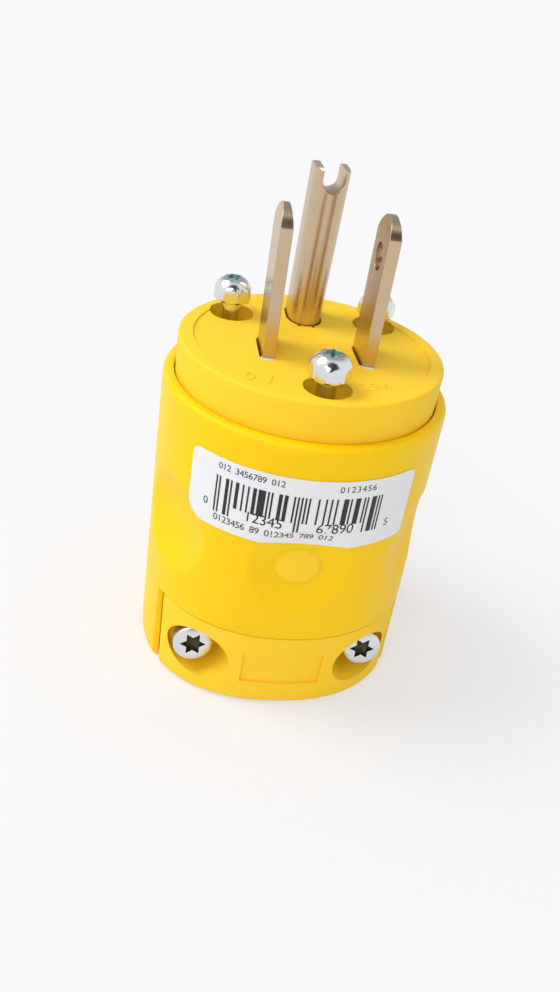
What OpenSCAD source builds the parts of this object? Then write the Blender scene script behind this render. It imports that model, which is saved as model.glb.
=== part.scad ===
// Straight-blade grounding plug with a screw cord clamp, standing on its rear face, blades up.
// The origin is on the body's axis at the rear face. The ground pin lies towards +Y and the
// clamp jaw towards -Y, so that the hot blade is on the +X side.

/* [Body] */
// Height from the rear face to the front face
body_h = 48.6; // [47.6:0.2:54]
// Radius at the rear face
rear_r = 19.5; // [19.2:0.1:21]
// Radius at the housing's front rim
rim_r = 18.95; // [18.7:0.05:19.4]
// Height that the front cover stands above the housing's rim
cover_stand = 4.95; // [3.5:0.05:6]
// Rounding of the rear edge
rear_round = 1; // [0.4:0.1:1.4]
// Rounding of the housing's rim
rim_round = 0.7; // [0.3:0.05:0.9]
// Distance from the axis to the flattened front and back at the rear face
flat_reach = 17.6; // [17.2:0.1:19]
// Radius of the flattened front and back
flat_r = 24; // [22:0.5:30]
// Depth below the front face at which the flattening has run out
flat_start = 20; // [14:1:28]
// Wall between the chamber and the ledge that carries the front cover
ledge_w = 1.6; // [1.2:0.1:2]
// Thickness of the chamber's floor
floor_t = 2; // [1.4:0.1:2.2]

/* [Finger dimples] */
// Number of dimples around the body
dimple_count = 6; // [2:2:8]
// Depth of the dimples' centres below the front face
dimple_drop = 22.8; // [21:0.2:25]
// Height of a dimple
dimple_tall = 14; // [9:0.5:15]
// Depth of a dimple
dimple_deep = 1.4; // [0.8:0.1:1.7]
// Radius of the scoop seen from above
dimple_across_r = 54; // [44:1:80]
// Radius of the round pip in the front dimple
pip_r = 2.7; // [1.5:0.1:3.5]
// Height of the pip above the dimple's deepest point
pip_rise = 0.6; // [0.3:0.05:0.9]

/* [Front cover] */
// Width of the housing's rim around its mouth
rim_land = 1.45; // [1.1:0.05:2]
// Gap between the cover and the housing's mouth
mouth_gap = 0.15; // [0.05:0.05:0.25]
// Depth of the cover inside the housing
cover_sink = 7.15; // [5.5:0.05:8]
// Thickness of the cover's plate
plate_t = 8; // [7:0.1:9]
// Wall of the cover's skirt
skirt_w = 1.85; // [1.5:0.05:2.2]
// Rounding of the cover's front edge
cover_round = 0.4; // [0.1:0.05:0.8]
// Width of the flat rim around the shallow hollow in the front face
hollow_rim = 1.9; // [1.4:0.05:3]
// Depth of the shallow hollow
hollow_deep = 0.3; // [0.1:0.05:0.5]
// Radius of the sweep that lets the hollow run out towards the front and the back
hollow_sweep_r = 260; // [180:10:400]

/* [Blades and ground pin] */
// Distance between the two blades' centres
blade_pitch = 12.7; // [12.5:0.1:13]
// Distance from the body's axis to the line of the blades, towards the jaw
blade_back = 2.59; // [2:0.01:3]
// Width of a blade
blade_w = 6.35; // [6.1:0.05:6.5]
// Thickness of a blade
blade_t = 1.52; // [1.4:0.02:1.65]
// Length of a blade outside the front face
blade_out = 17.7; // [16:0.1:18.3]
// Radius of a blade's rounded tip
blade_tip_r = 3.4; // [3.3:0.05:4.5]
// Thickness of a blade at its very tip
blade_tip_t = 0.8; // [0.4:0.05:1.2]
// Height of the bevel at a blade's tip
blade_bevel_h = 2.1; // [0.8:0.1:2.6]
// Height of the hole in the hot blade above the front face
blade_hole_h = 12.74; // [11.5:0.02:13]
// Radius of the hole in the hot blade
blade_hole_r = 1.7; // [1.5:0.02:2]
// Distance from the line of the blades to the ground pin
pin_pitch = 11.8; // [11.6:0.05:12]
// Half width of the ground pin
pin_r = 2.4; // [2.3:0.02:2.45]
// Reach of the ground pin's oval nose in front of its axis, before its flat is cut
pin_nose = 3.57; // [3:0.01:3.8]
// Length of the ground pin outside the front face
pin_out = 20.1; // [19:0.1:21.4]
// Reach of the ground pin behind its axis
pin_flange = 2.3; // [1.8:0.05:2.4]
// Width of the flat along the ground pin's front
pin_nose_w = 2.1; // [1:0.1:2.4]
// Half width of the notch in the ground pin's tip
notch_half = 1.35; // [1.2:0.05:1.7]
// Bevel of the notch along its front edge
notch_bevel = 0.5; // [0.1:0.05:0.5]
// Depth of the notch in the ground pin's tip, at its front edge
notch_deep = 2.7; // [2.3:0.05:3.4]
// Bevel around the ground pin's tip
tip_bevel = 0.3; // [0.1:0.05:0.5]
// Clearance around blades and pin in the plastic pieces
blade_gap = 0.12; // [0.08:0.02:0.2]

/* [Terminals] */
// Height of the terminal carrier below the front cover's plate
carrier_h = 14.6; // [13.6:0.1:15]
// Gap around the terminal carrier
carrier_gap = 0.2; // [0.1:0.05:0.4]
// Height of the terminal screws above the carrier's rear
term_rise = 5; // [4.4:0.1:5.4]
// Radius of a terminal screw's shank
term_shank_r = 1.5; // [1.3:0.05:1.6]
// Radius of a terminal screw's head
term_head_r = 2.8; // [2.4:0.05:3]
// Thickness of a terminal screw's head
term_head_t = 1.5; // [1.2:0.05:1.7]
// Thickness of a wire plate
wire_plate_t = 1.3; // [1:0.05:1.5]
// Side of a square wire plate
wire_plate_w = 6.4; // [5.8:0.1:7]
// Gap for a bare wire between a blade and its wire plate
wire_gap = 1.5; // [1.2:0.05:1.7]
// Room on each side of a wire plate in its bay
bay_room = 0.7; // [0.4:0.05:0.9]
// Reach of a terminal screw behind its contact
term_tip = 0.6; // [0.3:0.1:1]
// Width of a terminal screw's slot
driver_slot = 0.8; // [0.6:0.05:1]
// Height of the contacts' tails above the carrier's rear
tail_rise = 1.5; // [1:0.1:1.8]
// Distance of the ground contact's tail in front of the ground pin's axis
ground_tail_in = 1.4; // [0.8:0.1:1.5]
// Width of the ground contact's tail
term_tail_w = 4.2; // [3.8:0.1:4.2]

/* [Assembly screws] */
// Distance of the assembly screws from the cover's edge
screw_edge = 4.27; // [4.1:0.01:4.5]
// Angle of the two rear screws from the front one
screw_spread = 130; // [126:1:132]
// Radius of a screw well in the front face
well_r = 3.05; // [2.9:0.05:3.2]
// Depth of a screw well
well_deep = 5.1; // [4.6:0.1:5.2]
// Distance across the flats of a screw's head
head_flats = 5.1; // [4.6:0.05:5.2]
// Height of a screw's head
head_h = 3.2; // [2.8:0.05:3.4]
// Height of the taper under a screw's head
head_taper = 0.75; // [0.5:0.05:1]
// Radius of the dome on a screw's head
dome_r = 3.3; // [3.1:0.1:5]
// Outer radius of the star in a screw's head
star_r = 1.4; // [1.1:0.05:1.6]
// Depth of the star in a screw's head
star_deep = 1.5; // [1:0.1:1.8]
// Radius of a screw's shank
shank_r = 1.28; // [1.1:0.02:1.35]
// Height of the front screw's head above the front face
proud_front = 1.2; // [0.2:0.05:1.6]
// Height of the left screw's head above the front face
proud_left = 1.55; // [0.2:0.05:1.6]
// Height of the right screw's head above the front face
proud_right = 0.9; // [0.2:0.05:1.6]
// Radius of a screw boss in the housing
boss_r = 3; // [2.7:0.05:3.2]
// Length of a threaded insert
insert_l = 6; // [4:0.2:6.4]
// Outer radius of a threaded insert
insert_r = 2.1; // [1.9:0.05:2.2]

/* [Cord clamp] */
// Height of the clamp jaw
jaw_h = 13.4; // [12.4:0.1:13.8]
// Width of the housing's cheek on each side of the jaw
cheek_w = 2.65; // [2.5:0.05:3]
// Gap between the jaw and the housing
jaw_gap = 0.2; // [0.1:0.05:0.3]
// Depth of the blunt front edge of the housing's cheeks, measured from the axis
cheek_reach = 8.4; // [7.5:0.1:9.4]
// Distance from the axis to the jaw's inner face
jaw_face = 3.2; // [2.8:0.1:3.6]
// Distance from the axis to the housing's clamping face
seat_face = 1.2; // [0.9:0.1:1.6]
// Radius of the cord channel
cord_r = 5.75; // [5.4:0.05:6.2]
// Radius of the cord hole in the chamber's floor
cord_hole_r = 6; // [5.6:0.1:6.6]
// Distance of a clamp screw from the side of the jaw's opening
clamp_screw_in = 4.5; // [4.35:0.05:4.8]
// Distance of a screw pocket's middle from the side of the jaw's opening
pocket_in = 5.25; // [5:0.05:5.6]
// Depth of the clamp screws below the jaw's front edge
clamp_drop = 6.2; // [6:0.1:6.6]
// Radius of a screw pocket
pocket_r = 4.1; // [3.9:0.05:4.2]
// Depth of a screw pocket from the flattened front
pocket_deep = 6.2; // [5.6:0.1:6.6]
// Radius of a clamp screw's head
clamp_head_r = 2.8; // [2.4:0.05:2.9]
// Thickness of a clamp screw's head
clamp_head_t = 2; // [1.6:0.05:2.2]
// Outer radius of the star in a clamp screw's head
clamp_star_r = 1.85; // [1.3:0.05:1.9]
// Depth of the star in a clamp screw's head
clamp_star_deep = 1.1; // [0.8:0.1:1.3]
// Radius of a clamp screw's shank
clamp_shank_r = 1.6; // [1.3:0.05:1.7]
// Length of a clamp screw's shank
clamp_shank_l = 17.4; // [17:0.1:18]
// Travel of the jaw
jaw_travel = 4; // [3:0.1:4]
// Side of a square clamp nut
nut_w = 5.5; // [5:0.1:5.6]
// Thickness of a clamp nut
nut_t = 2.2; // [1.8:0.1:2.4]
// Distance from the axis to a clamp nut
nut_y = 3.3; // [3:0.1:3.5]
// Width of the bare panel on the jaw
panel_w = 11.3; // [9:0.1:12]
// Height of the bare panel on the jaw
panel_h = 5.6; // [4:0.1:6]
// Depth of the bare panel
panel_deep = 0.35; // [0.2:0.05:0.5]
// Distance of the bare panel's middle below the jaw's front edge
panel_drop = 6.4; // [5.6:0.1:7]

/* [Label] */
// Depth of the label's top edge below the front face
label_drop = 9.2; // [8:0.1:10]
// Height of the label
label_h = 9.9; // [8:0.1:11]
// Angle that the label covers
label_angle = 92; // [60:1:100]
// Angle of the label's middle from the front, towards the left
label_turn = 4.5; // [0:0.5:8]
// Thickness of the label
label_t = 0.14; // [0.1:0.01:0.2]

/* [Fits] */
// Running gap between a moving screw and the thread that it turns in
thread_gap = 0.05; // [0.03:0.01:0.08]
// Gap around a screw that passes freely through a piece
free_gap = 0.3; // [0.2:0.05:0.4]
// Seating gap around a nut, an insert or the label
seat_gap = 0.02; // [0.01:0.01:0.05]

/* [Hidden] */
$fn = 96;
past = 1;                                    // how far a cut runs past a face
far = 30;                                    // beyond every outer surface
hollow_dip = 1;                              // extra depth of cutters under a face

rim_z = body_h - cover_stand;                // front rim of the housing
ledge_z = rim_z - cover_sink;                // ledge that the front cover sits on
plate_z = body_h - plate_t;                  // underside of the front cover's plate
well_z = body_h - well_deep;                 // floor of the screw wells
floor_z = jaw_h + floor_t;                   // top of the chamber's floor
carrier_z = plate_z - carrier_h;             // rear of the terminal carrier
term_z = carrier_z + term_rise;              // height of the terminal screws
boss_top = carrier_z - carrier_gap;          // top of the screw bosses
insert_z = boss_top - insert_l;              // bottom of the inserts
engage = 2;                                  // thread in its insert when a screw is backed out
seat_clear = 0.1;                            // left under a head at the end of its travel

mouth_r = rim_r - rim_land;                  // bore of the housing's mouth
cover_r = mouth_r - mouth_gap;               // radius of the front cover
hollow_r = cover_r - hollow_rim;             // radius of the shallow hollow
screw_circle_r = cover_r - screw_edge;       // radius of the circle of assembly screws
chamber_r = mouth_r - ledge_w;               // bore of the chamber
skirt_r = cover_r - skirt_w;                 // bore of the cover's skirt
carrier_r = chamber_r - carrier_gap;         // radius of the carrier in the chamber
spigot_r = skirt_r - carrier_gap;            // radius of the carrier in the skirt
blade_x = blade_pitch / 2;
blade_y = -blade_back;
pin_y = pin_pitch - blade_back;
bay_w = wire_plate_w + 2 * bay_room;         // width of a terminal's bay
bay_top = term_z + bay_w / 2 + bay_room;     // top of a terminal's bay
tail_z = carrier_z + tail_rise;              // rear end of the contacts
ground_y = pin_y - ground_tail_in;           // middle of the ground contact's tail
nose_reach = pin_nose * sqrt(1 - pow(pin_nose_w / 2 / pin_r, 2));  // ground pin's flat in front of its axis
jaw_half = rear_r - cheek_w;                 // half width of the opening that the jaw slides in
clamp_screw_x = jaw_half - clamp_screw_in;
pocket_x = jaw_half - pocket_in;
pocket_floor = flat_reach - pocket_deep;
clamp_z = jaw_h - clamp_drop;                // height of the clamp screws
clamp_tip = clamp_shank_l - pocket_floor;    // tip of a clamp screw at rest
panel_z = jaw_h - panel_drop;                // middle of the bare panel
screw_angles = [-90, -90 - screw_spread, -90 + screw_spread];
screw_proud = [proud_front, proud_left, proud_right];

// Radius of the drafted body at a height
function body_radius(z) = rear_r + (rim_r - rear_r) * z / rim_z;

// ---- Outer form shared by the housing, the jaw and the label ----

// Half section of the drafted body with its two rounded edges
module side_profile(grow) {
    r0 = rear_r + grow;
    r1 = rim_r + grow;
    polygon([[0, 0], [r0 - rear_round, 0], [r0, rear_round],
             [r1, rim_z - rim_round], [r1 - rim_round, rim_z], [0, rim_z]]);
    translate([r0 - rear_round, rear_round]) circle(rear_round);
    translate([r1 - rim_round, rim_z - rim_round]) circle(rim_round);
}

// Leaning cylinder that flattens the front of the body towards the rear
module flat_side(grow) {
    top = body_h - flat_start;
    lean = atan((body_radius(top) - flat_reach) / top);
    translate([0, flat_r - flat_reach, 0]) rotate([lean, 0, 0])
        translate([0, 0, -far]) cylinder(r = flat_r + grow, h = body_h + 2 * far);
}

// Ring-shaped cutter of one finger dimple
module dimple_scoop(grow) {
    tall_r = dimple_tall * dimple_tall / 8 / dimple_deep + dimple_deep / 2;
    z = body_h - dimple_drop;
    translate([body_radius(z) - dimple_deep + dimple_across_r + grow, 0, z])
        rotate_extrude() translate([dimple_across_r - tall_r, 0]) circle(tall_r);
}

// The body's envelope; grow moves its surface out by a skin's thickness
module envelope(grow = 0) {
    intersection() {
        rotate_extrude() side_profile(grow);
        flat_side(grow);
        mirror([0, 1, 0]) flat_side(grow);
    }
}

// The envelope with its finger dimples
module outer_form(grow = 0) {
    difference() {
        envelope(grow);
        for (i = [0 : dimple_count - 1])
            rotate([0, 0, -90 + i * 360 / dimple_count]) dimple_scoop(grow);
    }
}

// Round pip that stands in the front dimple
module pip(grow = 0) {
    z = body_h - dimple_drop;
    top = body_radius(z) - dimple_deep + pip_rise + grow;
    translate([0, 0, z]) rotate([90, 0, 0]) {
        translate([0, 0, top - 2 * pip_rise]) cylinder(r = pip_r, h = 1.6 * pip_rise);
        translate([0, 0, top - 0.4 * pip_rise])
            cylinder(r1 = pip_r, r2 = pip_r - 0.4 * pip_rise, h = 0.4 * pip_rise);
    }
}

// Children copied to the three assembly screws' places
module at_screw(i) {
    rotate([0, 0, screw_angles[i]]) translate([screw_circle_r, 0, 0]) children();
}

// ---- Moulded pieces ----

// Yellow shell: mouth for the front cover, wiring chamber, jaw opening and cord channel
module housing() {
    screw_travel_max = max(screw_proud) + well_deep;
    hole_z = boss_top - engage - screw_travel_max - seat_clear;
    color("gold") difference() {
        union() {
            difference() {
                outer_form();
                translate([0, 0, floor_z]) cylinder(r = chamber_r, h = far * 2);
                translate([0, 0, ledge_z]) cylinder(r = mouth_r, h = far);
            }
            pip();
            for (i = [0 : 2])
                at_screw(i) translate([0, 0, floor_z - past])
                    cylinder(r = boss_r, h = boss_top - floor_z + past);
        }
        for (i = [0 : 2]) at_screw(i) {
            translate([0, 0, insert_z]) cylinder(r = insert_r + seat_gap, h = insert_l + past);
            translate([0, 0, hole_z]) cylinder(r = shank_r + free_gap, h = boss_top - hole_z);
        }
        translate([0, 0, -past]) cylinder(r = cord_r, h = floor_z + 2 * past);
        translate([0, 0, jaw_h]) cylinder(r = cord_hole_r, h = floor_t + past);
        translate([-jaw_half, -far, -past]) cube([2 * jaw_half, far + seat_face, jaw_h + past]);
        for (s = [-1, 1]) {
            translate([s > 0 ? jaw_half - past : -jaw_half - far + past, -far - cheek_reach, -past])
                cube([far, far, jaw_h + past]);
            translate([s * clamp_screw_x, clamp_tip + jaw_travel + 1, clamp_z])
                rotate([90, 0, 0]) cylinder(r = clamp_shank_r + free_gap, h = far);
            translate([s * clamp_screw_x - nut_w / 2 - seat_gap, nut_y - seat_gap, -past])
                cube([nut_w + 2 * seat_gap, nut_t + 2 * seat_gap, clamp_z + nut_w / 2 + seat_gap + past]);
        }
    }
}

// Yellow front cover: plate with slots, screw wells and the shallow hollow, and a skirt
module front_cover() {
    color("gold") difference() {
        rotate_extrude() {
            polygon([[0, ledge_z], [cover_r, ledge_z], [cover_r, body_h - cover_round],
                     [cover_r - cover_round, body_h], [0, body_h]]);
            translate([cover_r - cover_round, body_h - cover_round]) circle(cover_round);
        }
        translate([0, 0, ledge_z - past]) cylinder(r = skirt_r, h = plate_z - ledge_z + past);
        for (i = [0 : 2]) at_screw(i) {
            translate([0, 0, well_z]) cylinder(r = well_r, h = well_deep + past);
            translate([0, 0, plate_z - past]) cylinder(r = shank_r + free_gap, h = plate_t);
        }
        for (s = [-1, 1]) translate([s * blade_x, blade_y, plate_z - past]) {
            slot_outline_cut(plate_t + 2 * past);
            translate([0, -blade_w / 2, 0]) cylinder(r = locator_r() + seat_gap, h = plate_t + 2 * past);
        }
        translate([0, pin_y, plate_z - past]) linear_extrude(plate_t + 2 * past) pin_outline(blade_gap);
        front_hollow();
    }
}

// Radius of the white locator at the front of each blade
function locator_r() = blade_t / 2 + 0.03;

// Blade slot whose left side opens slightly towards the ground pin
module slot_outline_cut(h) {
    half_t = blade_t / 2 + blade_gap;
    half_w = blade_w / 2 + blade_gap;
    linear_extrude(h)
        polygon([[-half_t, -half_w], [half_t, -half_w], [half_t, half_w],
                 [-half_t - 1.5 * blade_gap, half_w], [-half_t - 1.5 * blade_gap, half_w / 3]]);
}

// Shallow round hollow that runs out towards the front and the back of the face
module front_hollow() {
    intersection() {
        translate([0, 0, body_h - hollow_dip]) cylinder(r = hollow_r, h = hollow_dip + past);
        translate([0, 0, body_h - hollow_deep + hollow_sweep_r]) rotate([0, 90, 0])
            translate([0, 0, -far]) cylinder(r = hollow_sweep_r, h = 2 * far, $fn = 720);
    }
}

// White insulating block that holds the three contacts behind the front cover
module terminal_carrier() {
    locator_top = body_h - hollow_deep - 0.05;
    color("white") difference() {
        union() {
            translate([0, 0, carrier_z]) cylinder(r = carrier_r, h = ledge_z - carrier_z);
            translate([0, 0, carrier_z]) cylinder(r = spigot_r, h = carrier_h);
            for (s = [-1, 1]) translate([s * blade_x, blade_y - blade_w / 2, plate_z - past])
                cylinder(r = locator_r(), h = locator_top - plate_z + past);
        }
        for (s = [-1, 1]) {
            translate([s * blade_x - blade_t / 2 - seat_gap, blade_y - blade_w / 2 - seat_gap,
                       carrier_z - past])
                cube([blade_t + 2 * seat_gap, blade_w + 2 * seat_gap, far]);
        }
        translate([0, pin_y, carrier_z - past]) linear_extrude(far) pin_outline(blade_gap);
        for (i = [0 : 2])
            at_screw(i) translate([0, 0, carrier_z - past]) cylinder(r = shank_r + free_gap, h = far);
        terminal_bay(0, blade_y, blade_x);
        mirror([1, 0, 0]) terminal_bay(0, blade_y, blade_x);
        terminal_bay(90, 0, ground_y);
    }
}

// Open bay behind one contact, which runs out through the carrier's side and rear
module terminal_bay(turn, along, out) {
    rotate([0, 0, turn]) {
        translate([out - blade_t / 2 - blade_gap, along - bay_w / 2, carrier_z - past])
            cube([far, bay_w, bay_top - carrier_z + past]);
        translate([out - blade_t / 2 - term_tip - free_gap, along, term_z]) rotate([0, 90, 0])
            cylinder(r = term_shank_r + free_gap, h = blade_t);
    }
}

// Yellow jaw that closes on the cord, with its two screw pockets and a bare panel
module cord_clamp() {
    half = jaw_half - jaw_gap;
    color("gold") difference() {
        intersection() {
            envelope();
            translate([-half, -far, 0]) cube([2 * half, far - jaw_face, jaw_h - jaw_gap]);
        }
        translate([0, 0, -past]) cylinder(r = cord_r, h = jaw_h + 2 * past);
        for (s = [-1, 1]) {
            translate([s * pocket_x, -pocket_floor, clamp_z])
                rotate([90, 0, 0]) cylinder(r = pocket_r, h = far);
            translate([s * clamp_screw_x, 0, clamp_z])
                rotate([90, 0, 0]) cylinder(r = clamp_shank_r + free_gap, h = far);
        }
        difference() {
            translate([-panel_w / 2, -far, panel_z - panel_h / 2]) cube([panel_w, far - jaw_face, panel_h]);
            envelope(-panel_deep);
        }
    }
}

// Thin label that follows the body into the front dimple
module label() {
    a = label_angle / 2;
    color("white") intersection() {
        difference() {
            outer_form(seat_gap + label_t);
            outer_form(seat_gap);
        }
        translate([0, 0, body_h - label_drop - label_h]) rotate([0, 0, -90 - label_turn])
            linear_extrude(label_h) polygon([[0, 0], [far * cos(a), -far * sin(a)], [far, -far * tan(a / 2)],
                                             [far, far * tan(a / 2)], [far * cos(a), far * sin(a)]]);
    }
}

// ---- Contacts ----

// One flat blade with its rounded, bevelled tip and the hole for its terminal screw
module blade() {
    tip_z = body_h + blade_out;
    color("tan") difference() {
        intersection() {
            translate([-blade_t / 2, -blade_w / 2, tail_z]) cube([blade_t, blade_w, tip_z - tail_z]);
            union() {
                translate([-past, 0, tip_z - blade_tip_r]) rotate([0, 90, 0])
                    cylinder(r = blade_tip_r, h = 2 * past);
                translate([-past, -blade_w, tail_z])
                    cube([2 * past, 2 * blade_w, tip_z - blade_tip_r - tail_z]);
            }
            rotate([90, 0, 0]) translate([0, 0, -blade_w]) linear_extrude(2 * blade_w)
                polygon([[-blade_t / 2, tail_z], [blade_t / 2, tail_z], [blade_t / 2, tip_z - blade_bevel_h],
                         [blade_tip_t / 2, tip_z], [-blade_tip_t / 2, tip_z],
                         [-blade_t / 2, tip_z - blade_bevel_h]]);
        }
        translate([-past, 0, term_z]) rotate([0, 90, 0]) cylinder(r = term_shank_r + seat_gap, h = 2 * past);
    }
}

// Hot blade, with the detent hole near its tip
module hot_blade() {
    color("tan") translate([blade_x, blade_y, 0]) difference() {
        blade();
        translate([-past, 0, body_h + blade_hole_h]) rotate([0, 90, 0])
            cylinder(r = blade_hole_r, h = 2 * past);
    }
}

module neutral_blade() { translate([-blade_x, blade_y, 0]) blade(); }

// Outline of the ground pin: oval nose with a flat towards the jaw, straight sides behind
module pin_outline(grow = 0) {
    intersection() {
        union() {
            scale([pin_r + grow, pin_nose + grow]) circle(1);
            translate([-pin_r - grow, 0]) square([2 * pin_r + 2 * grow, pin_flange + grow]);
        }
        translate([-pin_r - past, -nose_reach - grow])
            square([2 * pin_r + 2 * past, nose_reach + pin_flange + 2 * grow]);
    }
}

// Solid ground pin with a bevelled notch across its tip and a flat terminal tail
module ground_pin() {
    tip_z = body_h + pin_out;
    fold_z = bay_top - seat_clear;
    notch_z = tip_z - notch_deep + notch_half + notch_bevel;
    mouth = notch_half + notch_bevel;
    tip_r = pin_r + pin_flange / 2;
    color("tan") translate([0, pin_y, 0]) difference() {
        union() {
            intersection() {
                translate([0, 0, fold_z]) linear_extrude(tip_z - fold_z) pin_outline();
                union() {
                    translate([0, 0, fold_z]) cylinder(r = 2 * pin_r, h = tip_z - tip_bevel - fold_z);
                    translate([0, 0, tip_z - tip_bevel])
                        cylinder(r1 = tip_r, r2 = tip_r - tip_bevel, h = tip_bevel);
                }
            }
            translate([-term_tail_w / 2, -ground_tail_in - blade_t / 2, tail_z])
                cube([term_tail_w, blade_t, fold_z - tail_z + past]);
        }
        translate([0, -nose_reach - seat_gap, notch_z]) rotate([-90, 0, 0])
            cylinder(r1 = mouth + seat_gap, r2 = notch_half, h = notch_bevel + seat_gap);
        translate([0, -nose_reach, notch_z]) rotate([-90, 0, 0])
            cylinder(r = notch_half, h = nose_reach + pin_flange + past);
        translate([0, 0, notch_z]) linear_extrude(notch_deep)
            polygon([[-mouth - seat_gap, -nose_reach - seat_gap], [mouth + seat_gap, -nose_reach - seat_gap],
                     [notch_half, notch_bevel - nose_reach], [notch_half, 2 * pin_r],
                     [-notch_half, 2 * pin_r], [-notch_half, notch_bevel - nose_reach]]);
        translate([0, 0, term_z]) rotate([90, 0, 0])
            translate([0, 0, -far]) cylinder(r = term_shank_r + seat_gap, h = 2 * far);
    }
}

// ---- Terminals ----

// Children laid out along +X from a contact's outer face, then turned to one of the three contacts
module at_terminal(which) {
    if (which == "hot") translate([blade_x + blade_t / 2, blade_y, term_z]) children();
    if (which == "neutral") mirror([1, 0, 0]) translate([blade_x + blade_t / 2, blade_y, term_z]) children();
    if (which == "ground") rotate([0, 0, 90]) translate([ground_y + blade_t / 2, 0, term_z]) children();
}

// Square plate that presses the bare wire against its contact
module wire_plate() {
    translate([wire_gap, 0, 0]) rotate([0, 90, 0]) difference() {
        translate([-wire_plate_w / 2, -wire_plate_w / 2, 0]) cube([wire_plate_w, wire_plate_w, wire_plate_t]);
        translate([0, 0, -past]) cylinder(r = term_shank_r + seat_gap, h = wire_plate_t + 2 * past);
    }
}

// Terminal screw with a slotted, rounded head
module terminal_screw() {
    head = wire_gap + wire_plate_t;
    rotate([0, 90, 0]) difference() {
        union() {
            translate([0, 0, -blade_t - term_tip]) cylinder(r = term_shank_r, h = head + blade_t + term_tip);
            translate([0, 0, head]) cylinder(r = term_head_r, h = term_head_t * 0.6);
            translate([0, 0, head + term_head_t * 0.6])
                cylinder(r1 = term_head_r, r2 = term_head_r - term_head_t * 0.4, h = term_head_t * 0.4);
        }
        translate([-term_head_r, -driver_slot / 2, head + term_head_t * 0.4])
            cube([2 * term_head_r, driver_slot, term_head_t]);
    }
}

module hot_terminal_screw() { color("goldenrod") at_terminal("hot") terminal_screw(); }
module neutral_terminal_screw() { color("silver") at_terminal("neutral") terminal_screw(); }
module ground_terminal_screw() { color("green") at_terminal("ground") terminal_screw(); }
module hot_wire_plate() { color("goldenrod") at_terminal("hot") wire_plate(); }
module neutral_wire_plate() { color("silver") at_terminal("neutral") wire_plate(); }
module ground_wire_plate() { color("green") at_terminal("ground") wire_plate(); }

// ---- Fasteners ----

// Six-pointed star of a driver recess
module star(r) {
    polygon([for (i = [0 : 11]) (i % 2 == 0 ? r : 0.56 * r) * [cos(30 * i), sin(30 * i)]]);
}

// Assembly screw: octagonal head with a domed top and a tapered underside
module assembly_screw(i) {
    head_r = head_flats / 2;
    neck_r = head_r - head_taper;
    head_z = body_h + screw_proud[i];
    tip_z = boss_top - engage;
    chamfer = shank_r / 3;
    color("silver") at_screw(i) difference() {
        union() {
            translate([0, 0, head_z]) intersection() {
                rotate([0, 0, 22.5]) cylinder(r = head_r / cos(22.5), h = head_h, $fn = 8);
                cylinder(r1 = neck_r, r2 = neck_r + head_h, h = head_h);
                translate([0, 0, head_h - dome_r]) sphere(dome_r);
            }
            rotate_extrude()
                polygon([[0, tip_z], [shank_r - chamfer, tip_z], [shank_r, tip_z + chamfer],
                         [shank_r, head_z + chamfer], [0, head_z + chamfer]]);
        }
        translate([0, 0, head_z + head_h - star_deep]) linear_extrude(head_h) star(star_r);
    }
}

module assembly_screw_front() { assembly_screw(0); }
module assembly_screw_left() { assembly_screw(1); }
module assembly_screw_right() { assembly_screw(2); }

// Threaded insert moulded into a boss
module insert(i) {
    color("goldenrod") at_screw(i) translate([0, 0, insert_z]) difference() {
        cylinder(r = insert_r, h = insert_l);
        translate([0, 0, -past]) cylinder(r = shank_r + thread_gap, h = insert_l + 2 * past);
    }
}

module insert_front() { insert(0); }
module insert_left() { insert(1); }
module insert_right() { insert(2); }

// Clamp screw: flat round head with a star recess, and a long shank through the jaw
module clamp_screw(s) {
    edge = clamp_head_t / 8;
    chamfer = clamp_shank_r / 3;
    color("silver") translate([s * clamp_screw_x, -pocket_floor, clamp_z]) rotate([90, 0, 0]) difference() {
        union() {
            cylinder(r = clamp_head_r, h = clamp_head_t - edge);
            translate([0, 0, clamp_head_t - edge])
                cylinder(r1 = clamp_head_r, r2 = clamp_head_r - edge, h = edge);
            rotate_extrude()
                polygon([[0, -clamp_shank_l], [clamp_shank_r - chamfer, -clamp_shank_l],
                         [clamp_shank_r, chamfer - clamp_shank_l], [clamp_shank_r, edge], [0, edge]]);
        }
        translate([0, 0, clamp_head_t - clamp_star_deep]) linear_extrude(clamp_head_t) star(clamp_star_r);
    }
}

module clamp_screw_left() { clamp_screw(-1); }
module clamp_screw_right() { clamp_screw(1); }

// Square nut that a clamp screw turns in
module clamp_nut(s) {
    color("silver") translate([s * clamp_screw_x, nut_y, clamp_z]) rotate([-90, 0, 0]) difference() {
        translate([-nut_w / 2, -nut_w / 2, 0]) cube([nut_w, nut_w, nut_t]);
        translate([0, 0, -past]) cylinder(r = clamp_shank_r + thread_gap, h = nut_t + 2 * past);
    }
}

module clamp_nut_left() { clamp_nut(-1); }
module clamp_nut_right() { clamp_nut(1); }

housing();
front_cover();
terminal_carrier();
cord_clamp();
label();
hot_blade();
neutral_blade();
ground_pin();
hot_terminal_screw();
neutral_terminal_screw();
ground_terminal_screw();
hot_wire_plate();
neutral_wire_plate();
ground_wire_plate();
assembly_screw_front();
assembly_screw_left();
assembly_screw_right();
insert_front();
insert_left();
insert_right();
clamp_screw_left();
clamp_screw_right();
clamp_nut_left();
clamp_nut_right();
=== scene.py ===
"""Dresses a straight-blade grounding plug: moulded shell and jaw, contacts, screws, label and stage."""

from itertools import groupby
from math import acos, cos, pi, radians, sin, sqrt

import bmesh
import bpy
from bpy.props import FloatProperty, FloatVectorProperty, IntProperty, PointerProperty
from mathutils import Matrix, Vector


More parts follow.
